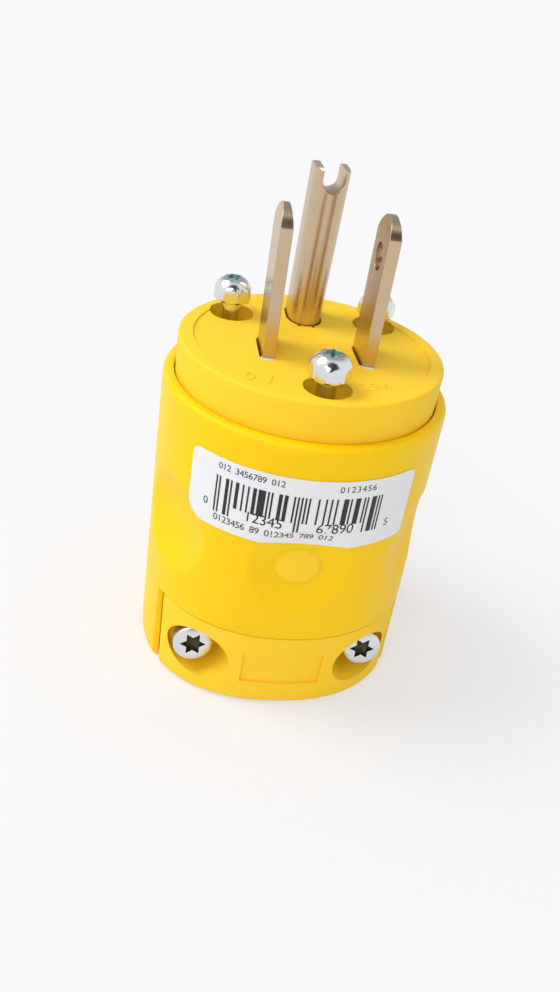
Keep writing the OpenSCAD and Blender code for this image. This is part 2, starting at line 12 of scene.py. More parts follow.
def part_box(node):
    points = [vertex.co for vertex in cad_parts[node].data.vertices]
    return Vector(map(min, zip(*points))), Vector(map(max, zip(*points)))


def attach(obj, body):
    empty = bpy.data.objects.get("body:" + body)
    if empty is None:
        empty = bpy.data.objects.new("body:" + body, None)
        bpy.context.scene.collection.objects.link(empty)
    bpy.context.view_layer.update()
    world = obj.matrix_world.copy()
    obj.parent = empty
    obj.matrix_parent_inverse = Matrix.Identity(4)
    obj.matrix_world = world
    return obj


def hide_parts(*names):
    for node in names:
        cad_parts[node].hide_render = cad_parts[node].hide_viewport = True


bl_info = {
    "name": "Grounding plug looks",
    "version": (1, 0, 0),
    "blender": (4, 5, 0),
    "location": "3D View > Sidebar > Plug",
    "description": "Builds the moulded pieces, finishes, label and stage of a straight-blade grounding plug",
    "category": "Object",
}

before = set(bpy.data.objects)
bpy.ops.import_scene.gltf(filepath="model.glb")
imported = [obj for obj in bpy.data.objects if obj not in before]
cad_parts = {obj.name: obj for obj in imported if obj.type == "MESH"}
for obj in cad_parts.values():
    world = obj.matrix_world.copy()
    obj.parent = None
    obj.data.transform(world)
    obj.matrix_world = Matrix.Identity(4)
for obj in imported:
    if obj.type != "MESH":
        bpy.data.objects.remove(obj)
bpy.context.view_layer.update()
MM = 0.001


def box_mm(node):
    """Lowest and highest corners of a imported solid, in millimetres."""
    return tuple(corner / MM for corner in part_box(node))


HOUSING = box_mm("housing")
COVER = box_mm("front_cover")
JAW = box_mm("cord_clamp")
LABEL = box_mm("label")
CLAMP_SCREW = box_mm("clamp_screw_right")
BLADE = box_mm("hot_blade")
PIN = box_mm("ground_pin")

# Body and cover, in mm. OUTSIDE lies well past the plug.
OUTSIDE = 30
REAR_R = HOUSING[1].x
RIM_Z = HOUSING[1].z
GRIP_R = 19.1
CORD_R = 5.75
LEDGE_Z = COVER[0].z
FACE_Z = COVER[1].z
PLATE_Z = FACE_Z - 8
PLATE_R = 15.5
COVER_R = COVER[1].x
COVER_EDGE = 0.4
MOUTH_GAP = 0.15
HOLLOW_R = COVER_R - 1.9
HOLLOW_DEEP = 0.3
WELL_R = 2.98
WELL_DEEP = 5.1

# Contacts, in mm.
BLADE_X = (BLADE[0].x + BLADE[1].x) / 2
BLADE_Y = (BLADE[0].y + BLADE[1].y) / 2
BLADE_HALF_W = (BLADE[1].y - BLADE[0].y) / 2
BLADE_HALF_T = (BLADE[1].x - BLADE[0].x) / 2
BLADE_TIP_R = 3.4
BLADE_TAPER = 0.6
BLADE_THIN = 0.36
BLADE_HOLE_R = 1.7
SLOT = ((-0.84, -3.25), (0.84, -3.25), (0.84, 3.25), (-0.84, 3.25), (-1.06, 2.7), (-1.06, -2.7))
LOCATOR_R = 0.9
LOCATOR_Y = BLADE_Y - BLADE_HALF_W + 0.2
PIN_BACK = 2.3
PIN_Y = PIN[1].y - PIN_BACK
PIN_R = 2.4
PIN_NOSE = PIN_Y - PIN[0].y
PIN_BLUNT = 2.15
PIN_FOOT_Z = 29

# Clamp screws with their pockets and nuts, and the jaw's bare panel, in mm.
CLAMP_X = (CLAMP_SCREW[0].x + CLAMP_SCREW[1].x) / 2
CLAMP_Z = (CLAMP_SCREW[0].z + CLAMP_SCREW[1].z) / 2
CLAMP_HOLE_R = 1.9
CLAMP_HEAD_TALL = 1.99
CLAMP_HEAD_RISE = 0.3
POCKET_X = 11.7
POCKET_Z = CLAMP_Z - 0.2
POCKET_R = 4.2
POCKET_Y = -11.4
MOAT_Y = -9.8
SEAT_R = 2.6
NUT_HALF = 2.77
NUT_NEAR = 3.28
NUT_FAR = 5.52
PANEL_HALF = 5.65
PANEL_LOW = 4.2
PANEL_HIGH = 9.8
PANEL_DEEP = 0.35

# Assembly screws, in mm. HEAD holds (radius, height above the seat).
HEAD = ((2.05, 0), (2.35, 0.16), (2.61, 0.45), (2.61, 1.55), (2.5, 1.9), (2.3, 2.25), (2.0, 2.6),
        (1.7, 2.9), (1.3, 3.13), (0.7, 3.27), (0, 3.3))
HEAD_FLAT = 2.41
HEAD_SHIFT = -0.18
SHANK_R = 1.22
SOCKET_R = 1.35
SOCKET_DEEP = 1.5

# Pip, as (radius, height above the dimple), in mm.
PIP = ((0, 0.6), (2.4, 0.6), (2.55, 0.57), (2.65, 0.48), (3.25, -0.02), (3.4, -0.1), (3.5, -1))

# Raised figures, as (words, x, y, turn in degrees, height). CAP_SHARE is the font's figure height.
CAP_SHARE = 0.7
COVER_FIGURES = (
    ("0 1", -8.0, -12.1, -16, 2.2),
    ("234", 6.1, -11.9, 14, 1.9),
    ("56", 3.4, -5.2, 0, 1.3),
)

# Label and its print, in mm. A line of figures is (words, height, left, foot, gap).
LABEL_WIDE = radians(92) * GRIP_R
LABEL_MIDDLE = radians(-94.5)
LABEL_CORNER = 1.0
FILM_OUT = 0.13
PRINT_OUT = 0.155
BAR_CODES = "0001101 0011001 0010011 0111101 0100011 0110001 0101111 0111011 0110111 0001011".split()
BAR_DIGITS = "012345678905"
BARS_LEFT = -11.3
BARS_WIDE = 21.4
BARS_HEAD = 7.5
BARS_FOOT = 3.75
GUARDS_FOOT = 2.3
LABEL_FIGURES = (
    ("0", 1.05, -12.5, 2.67, 1),
    ("12345", 1.4, -6.55, 2.5, 0.97),
    ("67890", 1.4, 2.35, 2.35, 0.97),
    ("5", 1.05, 11.65, 2.43, 1),
    ("012 3456789 012", 0.85, -10.9, 8.45, 0.57),
    ("0123456", 0.85, 4.2, 8.35, 0.72),
    ("0123456 89 012345 789 012", 0.95, -10.8, 1.05, 0.62),
)

# Stage, in metres, watts and degrees. A lamp is (name, place, power, size).
FILL = 0.72
FLOOR_GLOW = 0.5
LAMPS = (("key", (-0.45, 0.1, 0.6), 2.6, 0.35), ("front", (-0.3, -0.55, 0.45), 1.2, 0.35))
SEEN_RAYS = ("Is Camera Ray", "Is Glossy Ray", "Is Transmission Ray")
CAMERA_SPOT = (-0.02043, -0.09637, 0.08858)
CAMERA_HEADING = -11.519
CAMERA_TILT = 56.850
CAMERA_ROLL = 9.783


# ---- Sizes and colours that a user would change ----


def length(name, text, value):
    """Length property in millimetres."""
    return FloatProperty(name=name, description=text, default=value, min=0, precision=3)


def colour(name, text, value):
    """Colour property."""
    return FloatVectorProperty(
        name=name, description=text, default=value, size=3, min=0, max=1, subtype="COLOR"
    )


class PlugBody(bpy.types.PropertyGroup):
    """Sizes of the moulded body."""

    rim_radius: length("Rim radius", "Radius of the housing at its front rim, in mm", 18.95)
    flat_reach: length("Flat reach", "Distance from the axis to the flattened front, in mm", 17.6)
    flat_top: length("Flat top", "Height at which the flattening has run out, in mm", 28.6)
    square: FloatProperty(name="Squareness", description="Added exponent of the rear outline", default=0.28)
    dimple_z: length("Dimple height", "Height of the dimples' centres, in mm", 25.5)
    dimple_tall: length("Dimple half height", "Half height of a dimple, in mm", 6.85)
    dimple_wide: length("Dimple half width", "Half width of a dimple, in mm", 6.85)
    dimple_deep: length("Dimple depth", "Depth of a dimple, in mm", 1.75)
    dimple_soft: FloatProperty(
        name="Dimple softness", description="Softness of a dimple's edge", default=0.05
    )
    dimple_turn: FloatProperty(
        name="Dimple turn", description="Turn of the dimples, in degrees", default=-1.3
    )
    edge: length("Edge radius", "Radius of the moulded edges, in mm", 0.22)
    columns: IntProperty(name="Columns", description="Faces around the body", default=480, min=48)
    pin_lean: FloatProperty(name="Pin lean", description="Lean of the ground pin, in degrees", default=1.7)


class PlugFinish(bpy.types.PropertyGroup):
    """Colours of the finishes."""

    yellow: colour("Yellow", "Moulded body", (0.97, 0.6, 0.0))
    white: colour("White", "Insulating carrier", (0.86, 0.85, 0.8))
    contact: colour("Contact", "Plated blades and pin", (0.64, 0.485, 0.315))
    zinc: colour("Zinc", "Zinc-plated screws", (0.78, 0.79, 0.8))
    # Painted shade: the assembly screws' socket recesses get this dull teal in place of their zinc, standing
    # in for shade and reflected tint.
    socket: colour("Assembly socket", "Driver sockets of the assembly screws", (0.24, 0.42, 0.36))
    # Painted shade: the clamp screws' socket recesses get this near-black in place of their zinc.
    clamp_socket_painted_shade: colour("Clamp socket", "Driver sockets of the clamp screws", (0.1, 0.1, 0.05))
    brass: colour("Brass", "Brass screws and inserts", (0.76, 0.55, 0.25))
    green: colour("Green", "Ground terminal screw", (0.04, 0.3, 0.09))
    paper: colour("Label", "Label film", (0.79, 0.795, 0.82))
    ink: colour("Ink", "Label print", (0.012, 0.012, 0.014))
    floor: colour("Floor", "Floor", (0.8, 0.8, 0.8))
    backdrop: colour("Backdrop", "Background behind the floor", (0.947, 0.947, 0.962))


# ---- Shader maths as expressions ----


class Wire:
    """An output socket that takes part in sums and products."""

    def __init__(self, graph, socket):
        self.graph = graph
        self.socket = socket

    def math(self, operation, *others):
        return self.graph.add("ShaderNodeMath", {"operation": operation}, dict(enumerate((self, *others))))

    def __add__(self, other):
        return self.math("ADD", other)

    def __mul__(self, other):
        return self.math("MULTIPLY", other)

    __radd__ = __add__
    __rmul__ = __mul__


class Graph:
    """One material's or world's nodes."""

    def __init__(self, name):
        self.material = bpy.data.materials.new(name)
        self.material.use_nodes = True
        self.tree = self.material.node_tree
        self.surface = self.tree.nodes["Principled BSDF"]

    @classmethod
    def of(cls, tree):
        """Graph on a tree that exists."""
        graph = cls.__new__(cls)
        graph.tree = tree
        return graph

    def seen(self):
        """One where the camera, a glossy ray or a transmission ray sees the surface."""
        seen, *others = [self.add("ShaderNodeLightPath", output=ray) for ray in SEEN_RAYS]
        for other in others:
            seen = seen.math("MAXIMUM", other)
        return seen

    def add(self, kind, settings=None, inputs=None, output=0):
        """Adds a node, sets it, feeds its sockets and returns one output."""
        node = self.tree.nodes.new(kind)
        for key, value in (settings or {}).items():
            setattr(node, key, value)
        for key, value in (inputs or {}).items():
            self.feed(node.inputs[key], value)
        return Wire(self, node.outputs[output])

    def feed(self, socket, value):
        """Links or sets one socket."""
        if isinstance(value, Wire):
            self.tree.links.new(value.socket, socket)
        else:
            socket.default_value = value

    def set(self, **values):
        """Sets or links sockets of the surface shader."""
        for key, value in values.items():
            self.feed(self.surface.inputs[key.replace("_", " ")], value)

    def place(self, scale=(1, 1, 1)):
        """Object coordinates, scaled."""
        coords = self.add("ShaderNodeTexCoord", output="Object")
        return self.add("ShaderNodeMapping", None, {"Vector": coords, "Scale": scale})

    def noise(self, scale, detail, stretch=(1, 1, 1)):
        """Noise on Object coordinates."""
        inputs = {"Vector": self.place(stretch), "Scale": scale, "Detail": detail}
        return self.add("ShaderNodeTexNoise", None, inputs)

    def mix(self, factor, first, second):
        """Mix of two colours."""
        colours = {6: rgba(first), 7: rgba(second), 0: factor}
        return self.add("ShaderNodeMix", {"data_type": "RGBA"}, colours, output=2)

    def bump(self, height, distance, edge):
        """Normal with a fine relief, over edges softened by a radius."""
        soft = self.add("ShaderNodeBevel", {"samples": 6}, {"Radius": edge})
        inputs = {"Height": height, "Distance": distance, "Strength": 1.0, "Normal": soft}
        return self.add("ShaderNodeBump", None, inputs)

    def ramp(self, value, start, end, low=0, high=1):
        """Smooth step of a value, from low at its start to high at its end."""
        ends = {0: value, 1: start, 2: end, 3: low, 4: high}
        return self.add("ShaderNodeMapRange", {"interpolation_type": "SMOOTHSTEP"}, ends)


def rgba(value):
    """Colour with an alpha, or the wire as it is."""
    return value if isinstance(value, Wire) else (*value[:3], 1)


def shade(value, factor):
    """Colour times a factor."""
    return tuple(min(1, channel * factor) for channel in value)


def moulded(name, base, edge):
    """Moulded plastic: faint flow tone, fine satin grain and softened edges."""
    g = Graph(name)
    flow = g.noise(60, 2)
    grain = g.noise(5200, 3)
    g.set(
        Base_Color=g.mix(flow, shade(base, 0.98), shade(base, 1.02)),
        Roughness=0.36 + 0.08 * grain,
        Normal=g.bump(grain, 0.000004, edge),
    )
    g.set(IOR=1.48, Specular_IOR_Level=0.2)
    g.set(Subsurface_Weight=0.25, Subsurface_Radius=(1, 0.45, 0.02), Subsurface_Scale=0.0025)
    return g.material


def metal(name, base, rough, stretch=(1, 1, 1), scale=900, relief=0.000004, edge=0.00012):
    """Plated metal: drawn or rolled grain, faint stains and softened edges."""
    g = Graph(name)
    grain = g.noise(scale, 3, stretch)
    stain = g.noise(260, 3)
    g.set(
        Base_Color=g.mix(stain, shade(base, 0.9), base),
        Roughness=rough - 0.05 + 0.1 * grain + 0.08 * stain,
        Metallic=1.0,
        Normal=g.bump(grain, relief, edge),
    )
    return g.material


def plain(name, base, rough):
    """Printed or filmed surface with a faint mottling."""
    g = Graph(name)
    mottle = g.noise(700, 2)
    g.set(
        Base_Color=g.mix(mottle, shade(base, 0.97), base),
        Roughness=rough - 0.04 + 0.08 * mottle,
    )
    return g.material


# ---- Mesh helpers ----


def sheet_grid(columns, rows, place):
    """Grid whose corner (column, row) goes to place(column, row), in mm."""
    bm = bmesh.new()
    bmesh.ops.create_grid(bm, x_segments=columns, y_segments=rows, size=0.5)
    for vert in bm.verts:
        column = round((vert.co.x + 0.5) * columns)
        row = round((vert.co.y + 0.5) * rows)
        vert.co = place(column, row)
    return bm


def ring_solid(columns, rings):
    """Closed solid through rings, each a function of the angle that gives (radius, height)."""

    def place(column, row):
        angle = 2 * pi * (column % columns) / columns
        radius, height = rings[row](angle)
        return Vector((radius * cos(angle), radius * sin(angle), height))

    bm = sheet_grid(columns, len(rings) - 1, place)
    bmesh.ops.remove_doubles(bm, verts=bm.verts[:], dist=0.0005)
    bmesh.ops.holes_fill(bm, edges=[e for e in bm.edges if e.is_boundary], sides=0)
    bmesh.ops.recalc_face_normals(bm, faces=bm.faces[:])
    return bm


def lathe(profile, columns=96):
    """Closed solid through a profile of (radius, height) turned about Z."""
    return ring_solid(columns, [lambda angle, point=point: point for point in profile])


def loft(sections):
    """Closed solid through loops of as many points each."""
    count = len(sections[0])
    bm = sheet_grid(count, len(sections) - 1, lambda column, row: Vector(sections[row][column % count]))
    bmesh.ops.remove_doubles(bm, verts=bm.verts[:], dist=0.0005)
    bmesh.ops.holes_fill(bm, edges=[e for e in bm.edges if e.is_boundary], sides=0)
    bmesh.ops.recalc_face_normals(bm, faces=bm.faces[:])
    return bm


def cylinder(radius, low, high, axis="Z", centre=(0, 0), segments=96):
    """Cylinder along an axis; centre gives its other two coordinates in order."""
    bm = bmesh.new()
    bmesh.ops.create_cone(
        bm, cap_ends=True, segments=segments, radius1=radius, radius2=radius, depth=high - low
    )
    turn = {"Z": Matrix(), "Y": Matrix.Rotation(-pi / 2, 4, "X"), "X": Matrix.Rotation(pi / 2, 4, "Y")}[axis]
    middle = (low + high) / 2
    spot = {
        "Z": (centre[0], centre[1], middle),
        "Y": (centre[0], middle, centre[1]),
        "X": (middle, centre[0], centre[1]),
    }[axis]
    bmesh.ops.transform(bm, matrix=Matrix.Translation(spot) @ turn, verts=bm.verts[:])
    return bm


def block(low, high):
    """Box between two corners."""
    bm = bmesh.new()
    bmesh.ops.create_cube(bm, size=1)
    low, high = Vector(low), Vector(high)
    bmesh.ops.scale(bm, vec=high - low, verts=bm.verts[:])
    bmesh.ops.translate(bm, vec=(low + high) / 2, verts=bm.verts[:])
    return bm


def tool_object(bm):
    """Object that holds a mesh in mm until it is cut or finished."""
    mesh = bpy.data.meshes.new("tool")
    bm.to_mesh(mesh)
    bm.free()
    obj = bpy.data.objects.new("tool", mesh)
    bpy.context.scene.collection.objects.link(obj)
    return obj


def combine(target, operation, tools):
    """Applies boolean tools, one after another, and removes them."""
    for tool in tools:
        step = target.modifiers.new("step", "BOOLEAN")
        step.operation = operation
        step.solver = "EXACT"
        step.object = tool
        bpy.context.view_layer.update()
        graph = bpy.context.evaluated_depsgraph_get()
        mesh = bpy.data.meshes.new_from_object(target.evaluated_get(graph))
        target.modifiers.clear()
        used, target.data = target.data, mesh
        bpy.data.meshes.remove(used)
        spent = tool.data
        bpy.data.objects.remove(tool)
        bpy.data.meshes.remove(spent)
    return target


def finish_piece(source, name, body, slot, material, replaces=(), sharp=32, unit=MM):
    """Turns a bmesh or tool object into a finished piece that rides on a body."""
    if isinstance(source, bmesh.types.BMesh):
        source = tool_object(source)
    source.name = source.data.name = name
    mesh = source.data
    mesh.transform(Matrix.Scale(unit, 4))
    mesh.shade_smooth()
    mesh.set_sharp_from_angle(angle=radians(sharp))
    mesh.materials.clear()
    mesh.materials.append(material)
    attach(source, body)
    if replaces:
        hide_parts(*replaces)
    return source


def dressed_node(node, name, body, slot, material):
    """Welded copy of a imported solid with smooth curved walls, in its finish."""
    bm = bmesh.new()
    bm.from_mesh(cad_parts[node].data)
    bmesh.ops.remove_doubles(bm, verts=bm.verts[:], dist=0.000001)
    return finish_piece(bm, name, body, slot, material, [node], 28, 1.0)


def join(bms):
    """One bmesh holding several."""
    whole = bmesh.new()
    for bm in bms:
        mesh = bpy.data.meshes.new("part")
        bm.to_mesh(mesh)
        bm.free()
        whole.from_mesh(mesh)
        bpy.data.meshes.remove(mesh)
    return whole


def flat_text(words, height, thick):
    """Solid figures of a cap height, lying on XY and centred."""
    curve = bpy.data.curves.new("figures", "FONT")
    curve.body = words
    curve.align_x = "CENTER"
    curve.align_y = "CENTER"
    curve.extrude = thick / 2
    curve.resolution_u = 4
    obj = bpy.data.objects.new("figures", curve)
    bpy.context.scene.collection.objects.link(obj)
    bpy.context.view_layer.update()
    mesh = bpy.data.meshes.new_from_object(obj.evaluated_get(bpy.context.evaluated_depsgraph_get()))
    bpy.data.objects.remove(obj)
    bpy.data.curves.remove(curve)
    bm = bmesh.new()
    bm.from_mesh(mesh)
    bpy.data.meshes.remove(mesh)
    bmesh.ops.remove_doubles(bm, verts=bm.verts[:], dist=0.0001)
    size = height / CAP_SHARE
    bmesh.ops.scale(bm, vec=(size, size, 1), verts=bm.verts[:])
    return bm


def socket_split(bm, centre, up):
    """Takes the faces of the driver socket out of a screw's head and returns them, to carry a painted recess
    shade.
    """

    def place(face):
        away = face.calc_center_median() - centre
        along = away.dot(up)
        return along, (away - up * along).length

    bm.normal_update()
    floor = max(place(f)[0] for f in bm.faces if f.normal.dot(up) > 0.99 and place(f)[1] < 0.8)
    slack = 0.01
    chosen = set()
    for face in bm.faces:
        along, out = place(face)
        upright = abs(face.normal.dot(up)) < 0.3
        if out < 1.9 and along > floor - slack and (upright or along < floor + slack):
            chosen.add(face.index)
    inner = bm.copy()
    bmesh.ops.delete(inner, geom=[f for f in inner.faces if f.index not in chosen], context="FACES")
    bmesh.ops.delete(bm, geom=[f for f in bm.faces if f.index in chosen], context="FACES")
    return inner


def star(radius, turn, low, high):
    """Prism with a six-pointed star outline."""
    points = []
    for step in range(12):
        reach = radius if step % 2 == 0 else 0.56 * radius
        points.append((reach * cos(turn + step * pi / 6), reach * sin(turn + step * pi / 6)))
    return loft([[Vector((x, y, z)) for x, y in points] for z in (low, high)])


def assembly_screw(node, name, body, finishes, corner, rise):
    """Octagonal screw with a domed top, one of its corners turned to an angle."""
    low, high = box_mm(node)
    top = high.z + rise
    seat = top - HEAD[-1][1]

    def ring(radius, z):
        """Ring of the head, cut by the octagon's flats."""
        return lambda angle: (min(radius, HEAD_FLAT / cos((angle - corner) % (pi / 4) - pi / 8)), seat + z)

    foot = ((0, low.z), (0.9, low.z), (SHANK_R, low.z + 0.4), (SHANK_R, seat))
    rings = [bore(radius, z) for radius, z in foot]
    shell = tool_object(ring_solid(192, rings + [ring(radius, z) for radius, z in HEAD]))
    combine(shell, "DIFFERENCE", [tool_object(star(SOCKET_R, corner, top - SOCKET_DEEP, top + 1))])
    place = Matrix.Translation(((low.x + high.x) / 2 + HEAD_SHIFT, (low.y + high.y) / 2, 0))
    bm = bmesh.new()
    bm.from_mesh(shell.data)
    bm.transform(place)
    bpy.data.objects.remove(shell)
    # The socket's faces are split off so that they take the painted recess shade.
    inner = socket_split(bm, place.translation, Vector((0, 0, 1)))
    finish_piece(bm, name, body, "zinc_steel", finishes[0], [node], 26)
    finish_piece(inner, name + "_socket", body, "zinc_steel", finishes[1], (), 26)


def clamp_screw(node, name, finishes, tilt):
    """Packed clamp screw with its head tilted up a little."""
    low, high = box_mm(node)
    bm = bmesh.new()
    bm.from_mesh(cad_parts[node].data)
    bmesh.ops.scale(bm, vec=(1000, 1000, 1000), verts=bm.verts[:])
    bmesh.ops.remove_doubles(bm, verts=bm.verts[:], dist=0.001)
    seat = Vector(((low.x + high.x) / 2, low.y + CLAMP_HEAD_TALL, (low.z + high.z) / 2))
    head = [vert for vert in bm.verts if vert.co.y < seat.y]
    turn = Matrix.Rotation(-radians(tilt), 4, "X")
    stand = Matrix.Translation(seat + Vector((0, -CLAMP_HEAD_RISE, 0))) @ turn @ Matrix.Translation(-seat)
    bmesh.ops.transform(bm, matrix=stand, verts=head)
    # The socket's faces are split off so that they take the painted recess shade.
    inner = socket_split(bm, stand @ seat, turn.to_3x3() @ Vector((0, -1, 0)))
    finish_piece(bm, name, "clamp", "zinc_steel", finishes[0], [node], 26)
    finish_piece(inner, name + "_socket", "clamp", "zinc_steel", finishes[1], (), 26)


def blade_solid(x):
    """Flat blade with a rounded tip that thins a little."""
    tip_r, tip_z = BLADE_TIP_R, BLADE[1].z
    start = acos(BLADE_HALF_W / tip_r)
    bend = tip_z - tip_r + tip_r * sin(start)
    straight = (BLADE[0].z, FACE_Z, bend - BLADE_TAPER, bend - 0.05)
    levels = [(z, BLADE_HALF_W) for z in straight]
    for step in range(15):
        turn = start + (pi / 2 - start) * step / 14
        levels.append((tip_z - tip_r + tip_r * sin(turn), max(0.04, tip_r * cos(turn))))
    corners = ((-1, -1), (1, -1), (1, 1), (-1, 1))
    sections = []
    for z, w in levels:
        share = max(0.0, (z - bend + BLADE_TAPER) / (tip_z - bend + BLADE_TAPER))
        t = BLADE_HALF_T - BLADE_THIN * share * share
        sections.append([Vector((x + i * t, BLADE_Y + j * w, z)) for i, j in corners])
    return loft(sections)


def pin_outline(grow):
    """Outline of the ground pin: straight back and sides and an oval nose with a blunt front."""
    half, reach, back = PIN_R + grow, PIN_NOSE + grow, PIN_BACK + grow
    nose = []
    for step in range(1, 32):
        turn = pi * step / 32
        side = half * abs(cos(turn)) ** (2 / PIN_BLUNT)
        nose.append((side if step < 16 else -side, PIN_Y - reach * sin(turn) ** (2 / PIN_BLUNT)))
    return [(half, PIN_Y + back), (half, PIN_Y)] + nose + [(-half, PIN_Y), (-half, PIN_Y + back)]


def pin_solid(lean):
    """Ground pin with its bevelled notch, leaning a little outside the face."""
    tip_z = PIN[1].z - 0.15
    levels = ((PIN_FOOT_Z, 0), (FACE_Z, -0.12), (tip_z - 0.25, -0.03), (tip_z, -0.22))
    pin = tool_object(loft([[Vector((x, y, z)) for x, y in pin_outline(grow)] for z, grow in levels]))
    front, rear = PIN_Y - PIN_NOSE, PIN_Y + PIN_BACK
    sections = []
    for y, half, flare, deep in (
        (front - 0.1, 1.75, 2.45, 2.85),
        (front + 0.75, 1.38, 1.42, 2.6),
        (rear + 0.1, 1.33, 1.33, 3.0),
    ):
        low = tip_z - deep
        loop = [(-flare, tip_z + 1)]
        for step in range(17):
            turn = pi * step / 16
            loop.append((-half * cos(turn), low + half - half * sin(turn)))
        sections.append([Vector((x, y, z)) for x, z in loop + [(flare, tip_z + 1)]])
    combine(pin, "DIFFERENCE", [tool_object(loft(sections))])
    slope = sin(radians(lean))
    for vert in pin.data.vertices:
        vert.co.x += slope * max(0.0, vert.co.z - FACE_Z)
    return pin


# ---- Form of the body ----


def outline(body, angle, z):
    """Radius of the drafted body, with its flattened rear, at an angle and a height."""
    half = REAR_R + (body.rim_radius - REAR_R) * z / RIM_Z
    share = max(0.0, 1 - z / body.flat_top)
    depth = half - share * (REAR_R - body.flat_reach)
    power = 2 + body.square * share
    return (abs(cos(angle) / half) ** power + abs(sin(angle) / depth) ** power) ** (-1 / power)


def dimples(body, angle, z):
    """Depth of the six finger dimples at an angle and a height."""
    up = (z - body.dimple_z) / body.dimple_tall
    if abs(up) > 1.6:
        return 0.0
    step = pi / 3
    turn = (angle - radians(body.dimple_turn) + pi / 2 + step / 2) % step - step / 2
    across = turn * GRIP_R / body.dimple_wide
    rise = 1 - up * up - across * across
    soft = body.dimple_soft
    return body.dimple_deep * ((rise + sqrt(rise * rise + soft * soft)) / 2 - soft * soft / 8)


def surface(body, angle, z, out=0.0):
    """Radius of the body's dimpled surface, moved out by a distance."""
    return outline(body, angle, z) - dimples(body, angle, z) + out


def rounded(low, high, radius, steps=5):
    """Heights and insets of an outer wall with a rounded foot (radius[0]) and head (radius[1])."""
    foot, head = radius
    turns = [t * pi / 2 / steps for t in range(steps + 1)]
    rows = [(low + foot * (1 - cos(turn)), foot * (1 - sin(turn))) for turn in turns[:-1]]
    rows += [(low + foot, 0.0)]
    span = high - head - low - foot
    count = max(2, round(span / 0.3))
    rows += [(low + foot + span * i / count, 0.0) for i in range(1, count + 1)]
    rows += [(high - head + head * sin(turn), head * (1 - cos(turn))) for turn in turns[1:]]
    return rows


def wall(body, z, inset):
    """Ring on the outer surface."""
    return lambda angle: (surface(body, angle, z) - inset, z)


def bore(radius, z):
    """Round ring."""
    return lambda angle: (radius, z)


def bar_modules():
    """Dark and light modules of the label's bars, as ones and zeros."""
    codes = [BAR_CODES[int(digit)] for digit in BAR_DIGITS]
    half = len(codes) // 2
    turned = "".join(codes[half:]).translate(str.maketrans("01", "10"))
    return "101" + "".join(codes[:half]) + "01010" + turned + "101"


# ---- Operators ----


class PLUG_OT_housing(bpy.types.Operator):
    """Builds the yellow housing with its dimples, mouth, jaw opening and cord channel"""

    bl_idname = "plug.housing"
    bl_label = "Housing"

    def execute(self, context):
        body = context.scene.plug_body
        finish = context.scene.plug_finish
        mouth_r = COVER_R + MOUTH_GAP
        chamber_r = mouth_r - 1.6
        jaw_top = JAW[1].z + 0.2
        gap_x = JAW[1].x + 0.2
        floor_z = jaw_top + 2
        rings = [wall(body, z, inset) for z, inset in rounded(0, RIM_Z, (1.0, 0.7))]
        rings += [bore(mouth_r + 0.15, RIM_Z), bore(mouth_r, RIM_Z - 0.15)]
        rings += [bore(mouth_r, LEDGE_Z), bore(chamber_r, LEDGE_Z), bore(chamber_r, floor_z)]
        shell = tool_object(ring_solid(body.columns, rings))
        cuts = [block((-gap_x, -OUTSIDE, -1), (gap_x, 1.2, jaw_top)), cylinder(CORD_R, -1, floor_z + 1)]
        for side in (-1, 1):
            near, far = sorted((side * 16, side * 40))
            cuts.append(block((near, -OUTSIDE, -1), (far, -8.4, jaw_top)))
            screw_x = side * CLAMP_X
            cuts.append(cylinder(CLAMP_HOLE_R, -2, 11, "Y", (screw_x, CLAMP_Z), 48))
            foot = (screw_x - NUT_HALF, NUT_NEAR, -1)
            cuts.append(block(foot, (screw_x + NUT_HALF, NUT_FAR, CLAMP_Z + NUT_HALF)))
        combine(shell, "DIFFERENCE", [tool_object(bm) for bm in cuts])
        material = moulded("yellow_nylon", finish.yellow, body.edge * MM)
        finish_piece(shell, "housing_shell", "plug", "yellow_nylon", material, ["housing"])
        return {"FINISHED"}


class PLUG_OT_pip(bpy.types.Operator):
    """Builds the round raised pip in the front dimple"""

    bl_idname = "plug.pip"
    bl_label = "Pip"

    def execute(self, context):
        body = context.scene.plug_body
        turn = radians(body.dimple_turn)
        seat = surface(body, turn - pi / 2, body.dimple_z)
        bm = lathe(PIP)
        stand = Matrix.Rotation(turn, 4, "Z") @ Matrix.Translation((0, -seat, body.dimple_z))
        bmesh.ops.transform(bm, matrix=stand @ Matrix.Rotation(pi / 2, 4, "X"), verts=bm.verts[:])
        material = bpy.data.materials["yellow_nylon"]
        finish_piece(bm, "pip", "plug", "yellow_nylon", material)
        return {"FINISHED"}


